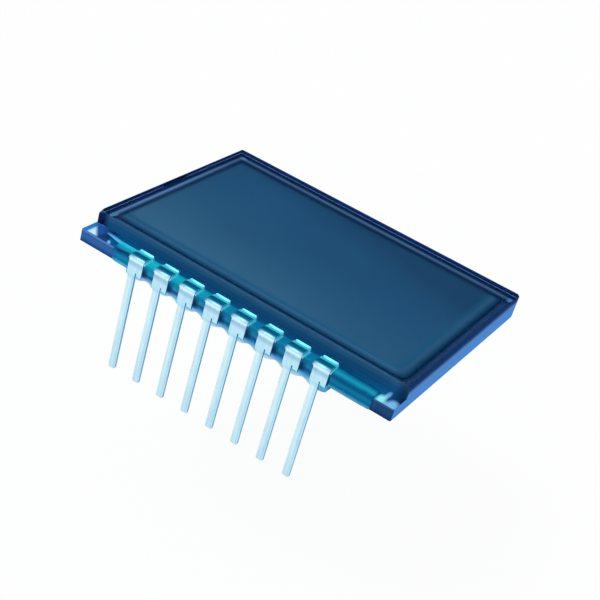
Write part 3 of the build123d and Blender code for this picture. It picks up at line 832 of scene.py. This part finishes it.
# Head tones are painted highlights, painted shade and painted reflections of the resin.
HEAD_LIGHT_AND_SHADE = [(-0.1, "#84BCE4"), (0.25, "#BEF3FF"), (0.85, "#C6EAFD"), (1.2, "#97CBE3"),
              (1.57, "#DEFBFF"), (1.8, "#92C3DD"), (2.11, "#096D87"), (2.35, "#055681"),
              (2.6, "#028BA9"), (2.82, "#4AC4D0"), (3.04, "#4FB6E7"), (3.26, "#82FEFF")]
LEG_LIGHT_AND_SHADE = [(0.74, "#F0FFFF"), (0.88, "#DCF6FF"), (1.08, "#DEFFFF"), (1.24, "#C4E2FF"),
             (1.38, "#BAFFFF")]
LEG_SIDES = 0.74, 1.4
LEG_TIP = "#CCEEFC"
FIRST_PIN = sum(corner.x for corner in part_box("pin_1")) / 2 / MM
PITCH = (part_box("pin_2")[0].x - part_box("pin_1")[0].x) / MM
print("first pin at", round(FIRST_PIN, 2), "mm, pitch", round(PITCH, 2), "mm")

# %% Measures along a head and across it
# Both measures come from the place of a point, so the same tones fall on all eight pins.
def head_run(tree, where):
    """How far up and back a point lies on the section of the pin row, in mm."""
    run = add_node(tree, "ShaderNodeMath", {"operation": "ADD"},
                   {0: where.outputs["Y"], 1: where.outputs["Z"]})
    return add_node(tree, "ShaderNodeMath", {"operation": "ADD"},
                    {0: run.outputs[0], 1: RUN_SHIFT})


def head_cross(tree, where):
    """Where a point lies across its pitch, from 0 to one pitch, with the head in the middle."""
    shifted = add_node(tree, "ShaderNodeMath", {"operation": "SUBTRACT"},
                       {0: where.outputs["X"], 1: FIRST_PIN - PITCH / 2})
    return add_node(tree, "ShaderNodeMath", {"operation": "FLOORED_MODULO"},
                    {0: shifted.outputs[0], 1: PITCH})


def head_light_and_shade(tree, run):
    """The painted light and shade of a head for a point of its run."""
    share = add_node(tree, "ShaderNodeMapRange", None,
                     {"Value": run.outputs[0], "From Min": HEAD_ENDS[0],
                      "From Max": HEAD_ENDS[1]})
    return add_node(tree, "ShaderNodeValToRGB", None, {"Fac": share.outputs[0]},
                    spread(HEAD_LIGHT_AND_SHADE, *HEAD_ENDS))


print("head tones:", len(HEAD_LIGHT_AND_SHADE))

# %% Tinned metal
# Tin plate: metallic but never mirror-bright. Toward its tip the leg is evenly pale.
HEAD_FOOT = 0.1, -0.3
PALE_TIP = -3.0, -9.2
tin, tree, output = new_material("tinned_copper_alloy")
spot, where = place_in_mm(tree)
run = head_run(tree, where)
cross = head_cross(tree, where)
head = head_light_and_shade(tree, run)
# Across a leg the tones are painted light, with painted shade along its right edge.
cross = add_node(tree, "ShaderNodeMapRange", None,
                 {"Value": cross.outputs[0], "From Min": LEG_SIDES[0],
                  "From Max": LEG_SIDES[1]})
leg = add_node(tree, "ShaderNodeValToRGB", None, {"Fac": cross.outputs[0]},
               spread(LEG_LIGHT_AND_SHADE, *LEG_SIDES))
lower = add_node(tree, "ShaderNodeMapRange", None,
                 {"Value": where.outputs["Z"], "From Min": PALE_TIP[0],
                  "From Max": PALE_TIP[1], "To Max": 0.5})
leg = add_node(tree, "ShaderNodeMix", {"data_type": "RGBA"},
               {0: lower.outputs[0], 6: leg.outputs[0], 7: linear(LEG_TIP)})
below = add_node(tree, "ShaderNodeMapRange", None,
                 {"Value": where.outputs["Z"], "From Min": HEAD_FOOT[0],
                  "From Max": HEAD_FOOT[1]})
front = add_node(tree, "ShaderNodeMix", {"data_type": "RGBA"},
                 {0: below.outputs[0], 6: head.outputs[0], 7: leg.outputs[2]})
print("tin so far:", len(tree.nodes), "nodes")

# %% Sheared sides of the pins
# The punch leaves the sides darker and less metallic. Beside the finger the bright cyan of its
# tip is painted on them as a reflection.
SHEARED_TOP = "#5498D4"
SHEARED_TIP = "#98C8E8"
FINGER_REFLECTION = "#54D4E4"
SHEARED_LEG = 0.0, -9.0
FINGER_START = 1.9, 2.2
SIDEWAYS = 0.5, 0.9
side = add_node(tree, "ShaderNodeMapRange", None,
                {"Value": where.outputs["Z"], "From Min": SHEARED_LEG[0],
                 "From Max": SHEARED_LEG[1]})
side = add_node(tree, "ShaderNodeMix", {"data_type": "RGBA"},
                {0: side.outputs[0], 6: linear(SHEARED_TOP), 7: linear(SHEARED_TIP)})
finger = add_node(tree, "ShaderNodeMapRange", None,
                  {"Value": run.outputs[0], "From Min": FINGER_START[0],
                   "From Max": FINGER_START[1]})
side = add_node(tree, "ShaderNodeMix", {"data_type": "RGBA"},
                {0: finger.outputs[0], 6: side.outputs[2], 7: linear(FINGER_REFLECTION)})
geometry = add_node(tree, "ShaderNodeNewGeometry")
facing = add_node(tree, "ShaderNodeSeparateXYZ", None, {0: geometry.outputs["Normal"]})
sheared = add_node(tree, "ShaderNodeMath", {"operation": "ABSOLUTE"}, {0: facing.outputs["X"]})
sheared = add_node(tree, "ShaderNodeMapRange", None,
                   {"Value": sheared.outputs[0], "From Min": SIDEWAYS[0],
                    "From Max": SIDEWAYS[1]})
metal = add_node(tree, "ShaderNodeMix", {"data_type": "RGBA"},
                 {0: sheared.outputs[0], 6: front.outputs[2], 7: side.outputs[2]})
print("tin with its sides:", len(tree.nodes), "nodes")

# %% Rolling streaks in the tin
# Rolling leaves streaks down the strip. They are finer than a tenth of a millimetre in life and
# are drawn about 0.2 mm wide, so that they show.
long_way = add_node(tree, "ShaderNodeMapping", None,
                    {"Vector": spot.outputs[0], "Scale": (1, 1, 0.12)})
streaks = add_node(tree, "ShaderNodeTexNoise", None,
                   {"Vector": long_way.outputs[0], "Scale": 5.0, "Detail": 3.0})
shade = add_node(tree, "ShaderNodeMapRange", None,
                 {"Value": streaks.outputs["Fac"], "From Min": 0.3, "From Max": 0.7,
                  "To Min": 0.94, "To Max": 1.05})
metal = add_node(tree, "ShaderNodeMix", {"data_type": "RGBA", "blend_type": "MULTIPLY"},
                 {0: 1.0, 6: metal.outputs[2], 7: shade.outputs[0]})
relief = add_node(tree, "ShaderNodeBump", None,
                  {"Height": streaks.outputs["Fac"], "Strength": 0.1, "Distance": 0.01 * MM})
dull = add_node(tree, "ShaderNodeMapRange", None,
                {"Value": sheared.outputs[0], "To Min": 0.85, "To Max": 0.3})
shader = add_node(tree, "ShaderNodeBsdfPrincipled", None,
                  {"Base Color": metal.outputs[2], "Metallic": dull.outputs[0],
                   "Roughness": 0.34, "Specular IOR Level": 0.1,
                   "Specular Tint": linear("#5CC4E4"), "Normal": relief.outputs[0]})
tree.links.new(shader.outputs[0], output.inputs["Surface"])
print("tin finish:", len(tree.nodes), "nodes")

# %% [markdown]
# One pin is finished by hand and the others are copies of it. It starts as a copy of the CAD
# pin, whose loose triangles are merged first. Three cuts across the head give a line of points,
# which is pressed in to a shallow crease, as the bending tool leaves it. The edges are eased as
# a stamping's edges are.

# %% Copy of a CAD piece
def loose_copy(node, name):
    """A merged copy of a CAD node, selected and active, with no parent."""
    bpy.ops.object.select_all(action="DESELECT")
    copy = nodes[node].copy()
    copy.data = nodes[node].data.copy()
    copy.parent = None
    scene.collection.objects.link(copy)
    copy.name = name
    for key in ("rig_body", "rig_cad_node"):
        if key in copy:
            del copy[key]
    copy.select_set(True)
    bpy.context.view_layer.objects.active = copy
    bpy.ops.object.mode_set(mode="EDIT")
    bpy.ops.mesh.select_mode(type="VERT")
    bpy.ops.mesh.select_all(action="SELECT")
    bpy.ops.mesh.remove_doubles(threshold=FINE)
    bpy.ops.object.mode_set(mode="OBJECT")
    return copy


print("copies are merged within", FINE / MM, "mm")

# %% First pin
# The crease runs across the head at CREASE_HEIGHT and is CREASE_DEPTH deep in its middle.
CREASE_HEIGHT = 1.09 * MM
CREASE_HALF = 0.07 * MM
CREASE_DEPTH = 0.05 * MM
EASE = 0.03 * MM
FLAT_SEAM = math.radians(2)
BEND_CORNER = math.radians(50)
ROUND_BELOW = math.radians(40)
pin = loose_copy("pin_1", "clip_pin_1")
bpy.ops.object.mode_set(mode="EDIT")
bpy.ops.mesh.dissolve_limited(angle_limit=FLAT_SEAM)
for offset in (-CREASE_HALF, 0, CREASE_HALF):
    bpy.ops.mesh.select_all(action="SELECT")
    bpy.ops.mesh.bisect(plane_co=(0, 0, CREASE_HEIGHT + offset), plane_no=(0, 0, 1),
                        threshold=FINE)
bpy.ops.mesh.select_all(action="DESELECT")
bpy.ops.object.mode_set(mode="OBJECT")
front_y = min(point.co.y for point in pin.data.vertices)
pressed = 0
for point in pin.data.vertices:
    on_front = point.co.y < front_y + EDGE_REACH
    point.select = on_front and abs(point.co.z - CREASE_HEIGHT) < EDGE_REACH
    pressed += point.select
bpy.ops.object.mode_set(mode="EDIT")
bpy.ops.transform.translate(value=(0, CREASE_DEPTH, 0))
bpy.ops.object.mode_set(mode="OBJECT")
ease = pin.modifiers.new("ease", "BEVEL")
ease.width = EASE
ease.segments = 2
ease.limit_method = "ANGLE"
ease.angle_limit = BEND_CORNER
bpy.ops.object.modifier_apply(modifier=ease.name)
bpy.ops.object.shade_smooth_by_angle(angle=ROUND_BELOW)
dress(pin, tin)
print("first pin:", len(pin.data.polygons), "faces,", pressed, "points pressed in")

# %% Row of pins
# The first pin replaces its own CAD node. Each copy is moved to the place of its own.
PIN_COUNT = 8
for number in range(1, PIN_COUNT + 1):
    node = f"pin_{number}"
    copy = pin
    if number > 1:
        bpy.ops.object.select_all(action="DESELECT")
        copy = pin.copy()
        copy.data = pin.data.copy()
        scene.collection.objects.link(copy)
        copy.name = f"clip_{node}"
        copy.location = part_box(node)[0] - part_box("pin_1")[0]
        copy.select_set(True)
        bpy.context.view_layer.objects.active = copy
        bpy.ops.object.transform_apply(location=True, rotation=False, scale=False)
    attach(copy, "root")
    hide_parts(node)
print("pins:", PIN_COUNT)

# %% [markdown]
# ## Resin bead
#
# The bead is an acrylate resin that is laid as a liquid along the pins and hardened under
# ultraviolet light. Surface tension rounds it, pulls it back between the pins and lets it hang
# in small lobes below the glass. Its colour changes along the row, from cyan at the left to
# petrol blue at the right, and up its section, where light and shade are painted: pale at the
# lobes, painted shade where the light can't get out, a painted highlight on top. So it has four
# lists of tones, told by the same run as the heads: for the first gap, for the last gap, and for
# the two stretches past the end pins.

# %% Tones of the resin
# Each list runs from the lobes up over the top of the bead in painted light and shade.
FIRST_GAP = [(-0.05, "#CDE9F6"), (0.25, "#9CD0EC"), (0.6, "#4588B9"), (0.8, "#113A73"),
             (1.1, "#2A8AB9"), (1.45, "#0C7FA2"), (1.9, "#04A6BB"), (2.3, "#09B7C9"),
             (2.85, "#079CB3")]
LAST_GAP = [(-0.05, "#B8D8EC"), (0.25, "#6CAEDA"), (0.6, "#2476AD"), (0.8, "#05477B"),
            (1.1, "#2077A4"), (1.45, "#0A6D96"), (1.9, "#04729C"), (2.3, "#026B9B"),
            (2.85, "#056896")]
LEFT_STRETCH = [(0.5, "#54B0D4"), (0.65, "#41AECD"), (0.85, "#026F98"), (1.2, "#1282B6"),
                (1.6, "#09447E"), (1.8, "#020D47"), (2.1, "#158AB7"), (2.4, "#029EC1"),
                (2.8, "#30CDEB")]
RIGHT_STRETCH = [(0.5, "#54A4CA"), (0.65, "#3C95B7"), (0.85, "#025D8B"), (1.2, "#0C739E"),
                 (1.55, "#024F7B"), (1.8, "#025783"), (2.1, "#0F94B6"), (2.3, "#0C94B6"),
                 (2.5, "#0978A2"), (2.85, "#034A7A")]
THIN_FRONT = "#1C4C94"
THIN_TAIL = "#5CB8EC"
FINGER_EDGE = "#44C4E0"
HEAD_SHADE = "#021E4E"
RESIN_ENDS = -0.1, 3.0
SWIRL_SHIFT = 0.15
print("resin tones:", len(FIRST_GAP) + len(LAST_GAP) + len(LEFT_STRETCH) + len(RIGHT_STRETCH))

# %% Resin colour along the row
# A swirl shifts the tones by SWIRL_SHIFT at most, so that none of their edges runs straight.
resin, tree, output = new_material("cured_acrylate_resin")
spot, where = place_in_mm(tree)
run = head_run(tree, where)
swirl = add_node(tree, "ShaderNodeTexNoise", None,
                 {"Vector": spot.outputs[0], "Scale": 1.1, "Detail": 2.0})
wavy = add_node(tree, "ShaderNodeMath", {"operation": "MULTIPLY_ADD"},
                {0: swirl.outputs["Fac"], 1: 2 * SWIRL_SHIFT, 2: run.outputs[0]})
share = add_node(tree, "ShaderNodeMapRange", None,
                 {"Value": wavy.outputs[0], "From Min": RESIN_ENDS[0] + SWIRL_SHIFT,
                  "From Max": RESIN_ENDS[1] + SWIRL_SHIFT})
along = add_node(tree, "ShaderNodeMapRange", None,
                 {"Value": where.outputs["X"], "From Min": FIRST_PIN + PITCH,
                  "From Max": FIRST_PIN + 4 * PITCH})
before = add_node(tree, "ShaderNodeMath", {"operation": "LESS_THAN"},
                  {0: where.outputs["X"], 1: FIRST_PIN})
after = add_node(tree, "ShaderNodeMath", {"operation": "GREATER_THAN"},
                 {0: where.outputs["X"], 1: FIRST_PIN + 7 * PITCH})
row = add_node(tree, "ShaderNodeValToRGB", None, {"Fac": share.outputs[0]},
               spread(FIRST_GAP, *RESIN_ENDS)).outputs[0]
for tones, mask in ((LAST_GAP, along), (LEFT_STRETCH, before), (RIGHT_STRETCH, after)):
    other = add_node(tree, "ShaderNodeValToRGB", None, {"Fac": share.outputs[0]},
                     spread(tones, *RESIN_ENDS))
    row = add_node(tree, "ShaderNodeMix", {"data_type": "RGBA"},
                   {0: mask.outputs[0], 6: row, 7: other.outputs[0]}).outputs[2]
print("resin along the row:", len(tree.nodes), "nodes")

# %% Thin left end of the resin
# Past the first pin the bead thins out: its front takes the blue of the glass, and its top a
# pale streak. Each pair says where a mask begins and where it is full, in millimetres.
TAIL_FADE = -10.9, -11.9
STREAK_FADE = -11.2, -12.6
FRONT_FADE = 2.45, 2.15
tail = add_node(tree, "ShaderNodeMapRange", None,
                {"Value": where.outputs["X"], "From Min": TAIL_FADE[0],
                 "From Max": TAIL_FADE[1]})
front = add_node(tree, "ShaderNodeMapRange", None,
                 {"Value": run.outputs[0], "From Min": FRONT_FADE[0],
                  "From Max": FRONT_FADE[1]})
front = add_node(tree, "ShaderNodeMath", {"operation": "MULTIPLY"},
                 {0: tail.outputs[0], 1: front.outputs[0]})
back = add_node(tree, "ShaderNodeMapRange", None,
                {"Value": where.outputs["X"], "From Min": STREAK_FADE[0],
                 "From Max": STREAK_FADE[1]})
back = add_node(tree, "ShaderNodeMath", {"operation": "SUBTRACT", "use_clamp": True},
                {0: back.outputs[0], 1: front.outputs[0]})
for mask, code in ((front, THIN_FRONT), (back, THIN_TAIL)):
    row = add_node(tree, "ShaderNodeMix", {"data_type": "RGBA"},
                   {0: mask.outputs[0], 6: row, 7: linear(code)}).outputs[2]
print("resin with its thin end:", len(tree.nodes), "nodes")

# %% Resin over the fingers
# Over a finger the resin is thin and clear, so it takes the tones of the metal below it. Its
# distance is told from the middle of a head, in millimetres.
FINGER_FADE = 0.86, 0.76
LEDGE_HEIGHT = 1.32
ROW_MARGIN = 0.4
cross = head_cross(tree, where)
from_head = add_node(tree, "ShaderNodeMath", {"operation": "SUBTRACT"},
                     {0: cross.outputs[0], 1: PITCH / 2})
near_head = add_node(tree, "ShaderNodeMath", {"operation": "ABSOLUTE"},
                     {0: from_head.outputs[0]})
over = add_node(tree, "ShaderNodeMapRange", None,
                {"Value": near_head.outputs[0], "From Min": FINGER_FADE[0],
                 "From Max": FINGER_FADE[1]})
raised = add_node(tree, "ShaderNodeMath", {"operation": "GREATER_THAN"},
                  {0: where.outputs["Z"], 1: LEDGE_HEIGHT})
in_row = add_node(tree, "ShaderNodeMath", {"operation": "COMPARE"},
                  {0: where.outputs["X"], 1: FIRST_PIN + 3.5 * PITCH,
                   2: 4 * PITCH - ROW_MARGIN})
for mask in (raised, in_row):
    over = add_node(tree, "ShaderNodeMath", {"operation": "MULTIPLY"},
                    {0: over.outputs[0], 1: mask.outputs[0]})
metal_light_and_shade = head_light_and_shade(tree, run)
row = add_node(tree, "ShaderNodeMix", {"data_type": "RGBA"},
               {0: over.outputs[0], 6: row, 7: metal_light_and_shade.outputs[0]}).outputs[2]
print("resin over the fingers:", len(tree.nodes), "nodes")

# %% Resin beside the heads
# To the right of each head the resin lies in the head's shade. Higher up, beside the finger, it
# climbs a little and catches the light: a strip told by its middle and its half width.
SHADE_FADE = 1.4, 0.95
SHADE_TOP = 1.8, 1.3
SHADE_FOOT = 0.4, 0.65
CLIMB_ACROSS = 0.86, 0.1
CLIMB_UP = 2.25, 0.45
CLIMB_SHARE = 0.7
beside = add_node(tree, "ShaderNodeMapRange", None,
                  {"Value": from_head.outputs[0], "From Min": SHADE_FADE[0],
                   "From Max": SHADE_FADE[1]})
lower = add_node(tree, "ShaderNodeMapRange", None,
                 {"Value": wavy.outputs[0], "From Min": SHADE_TOP[0],
                  "From Max": SHADE_TOP[1], "To Max": 0.9})
right_of = add_node(tree, "ShaderNodeMath", {"operation": "GREATER_THAN"},
                    {0: from_head.outputs[0], 1: 0.0})
above = add_node(tree, "ShaderNodeMapRange", None,
                 {"Value": run.outputs[0], "From Min": SHADE_FOOT[0],
                  "From Max": SHADE_FOOT[1]})
for mask in (lower, in_row, right_of, above):
    beside = add_node(tree, "ShaderNodeMath", {"operation": "MULTIPLY"},
                      {0: beside.outputs[0], 1: mask.outputs[0]})
climb = add_node(tree, "ShaderNodeMath", {"operation": "COMPARE"},
                 {0: from_head.outputs[0], 1: CLIMB_ACROSS[0], 2: CLIMB_ACROSS[1]})
band = add_node(tree, "ShaderNodeMath", {"operation": "COMPARE"},
                {0: run.outputs[0], 1: CLIMB_UP[0], 2: CLIMB_UP[1]})
for factor in (band.outputs[0], in_row.outputs[0], CLIMB_SHARE):
    climb = add_node(tree, "ShaderNodeMath", {"operation": "MULTIPLY"},
                     {0: climb.outputs[0], 1: factor})
for mask, code in ((beside, HEAD_SHADE), (climb, FINGER_EDGE)):
    row = add_node(tree, "ShaderNodeMix", {"data_type": "RGBA"},
                   {0: mask.outputs[0], 6: row, 7: linear(code)}).outputs[2]
print("resin beside the heads:", len(tree.nodes), "nodes")

# %% Body and gloss of the resin
# Hardened acrylate is glassy: a soft body colour under a clean cyan gloss that grows at low
# angles.
RESIN_GLOSS = 0.5
body = add_node(tree, "ShaderNodeBsdfPrincipled", None,
                {"Base Color": row, "Roughness": 0.3, "IOR": 1.5,
                 "Specular IOR Level": 0.0})
gloss = add_node(tree, "ShaderNodeBsdfGlossy", None,
                 {"Color": linear("#5CDCF4"), "Roughness": 0.12})
facing = add_node(tree, "ShaderNodeFresnel", None, {"IOR": 1.5})
facing = add_node(tree, "ShaderNodeMath", {"operation": "MULTIPLY"},
                  {0: facing.outputs[0], 1: RESIN_GLOSS})
shader = add_node(tree, "ShaderNodeMixShader", None,
                  {0: facing.outputs[0], 1: body.outputs[0], 2: gloss.outputs[0]})
tree.links.new(shader.outputs[0], output.inputs["Surface"])
print("resin finish:", len(tree.nodes), "nodes")

# %% [markdown]
# The shape of the bead is right in CAD but hard-edged. A voxel remesh turns the copy into one
# even skin. Smoothing modifiers then let that skin flow like a liquid before it sets, most of
# all at the two ends, and a slight swelling makes up for what the smoothing takes away. Each
# region has a name, its rounds of smoothing and a test for its points, in millimetres.

# %% Soft bead
SKIN_GRID = 0.05 * MM
SWELL = 0.02 * MM
REGIONS = [("flow", 10, lambda p: True), ("left_front", 60, lambda p: p.x < -11.2 and p.y < -11),
           ("left_tail", 10, lambda p: p.x < -11.2), ("right_end", 40, lambda p: p.x > 12.5)]
bead = loose_copy("pin_bead", "resin_bead")
fuse = bead.modifiers.new("fuse", "REMESH")
fuse.mode = "VOXEL"
fuse.voxel_size = SKIN_GRID
bpy.ops.object.modifier_apply(modifier=fuse.name)
for name, iterations, inside in REGIONS:
    group = bead.vertex_groups.new(name=name)
    group.add([point.index for point in bead.data.vertices if inside(point.co / MM)], 1,
              "REPLACE")
    flow = bead.modifiers.new(name, "SMOOTH")
    flow.factor = 0.5
    flow.iterations = iterations
    flow.vertex_group = name
    bpy.ops.object.modifier_apply(modifier=flow.name)
swell = bead.modifiers.new("swell", "DISPLACE")
swell.strength = SWELL
swell.mid_level = 0
bpy.ops.object.modifier_apply(modifier=swell.name)
bpy.ops.object.shade_smooth()
dress(bead, resin)
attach(bead, "root")
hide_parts("pin_bead")
print("bead:", len(bead.data.polygons), "faces")
